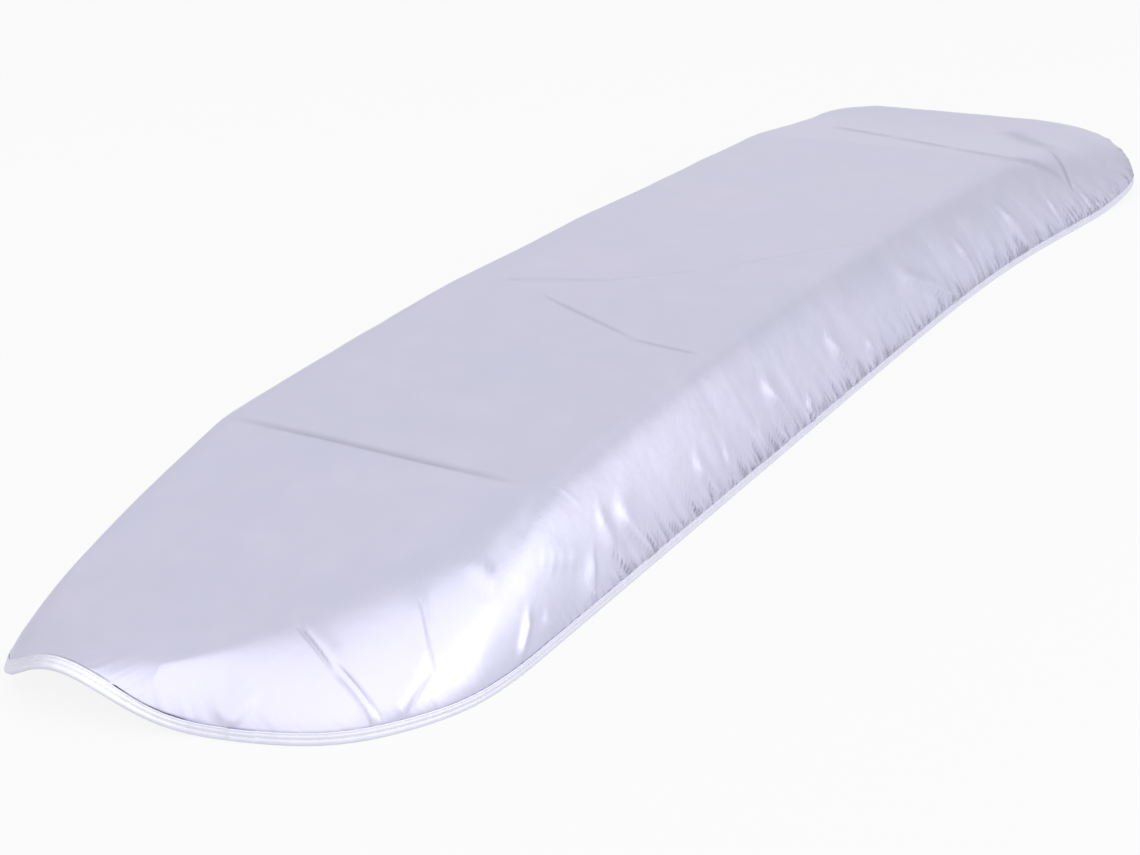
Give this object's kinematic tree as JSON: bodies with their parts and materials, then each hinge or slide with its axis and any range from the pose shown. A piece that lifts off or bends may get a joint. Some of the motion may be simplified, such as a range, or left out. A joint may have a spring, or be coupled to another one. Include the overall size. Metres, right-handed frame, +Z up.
{
  "type": "ironing board cover",
  "caption": "Elasticated ironing board cover: silver coated cloth over a sponge pad, bound round its rim by a folded tape that holds an elastic cord.",
  "frame": {"origin": "middle of the cover in plan, on the surface it lies on", "axes": "+X along the cover from its rounded nose to its square end, +Z up through the top panel, +Y to the left when looking along +X"},
  "size_m": [1.3668, 0.3808, 0.0965],
  "materials": {
    "coated_cloth": "satin silver coated plain weave",
    "sponge": "matte open cell sponge",
    "tape": "soft woven tape",
    "elastic": "braided elastic"
  },
  "bodies": {
    "root": {"cover_cloth": "coated_cloth", "sponge_pad": "sponge", "edge_tape": "tape", "elastic_cord": "elastic"}
  },
  "joints": []
}
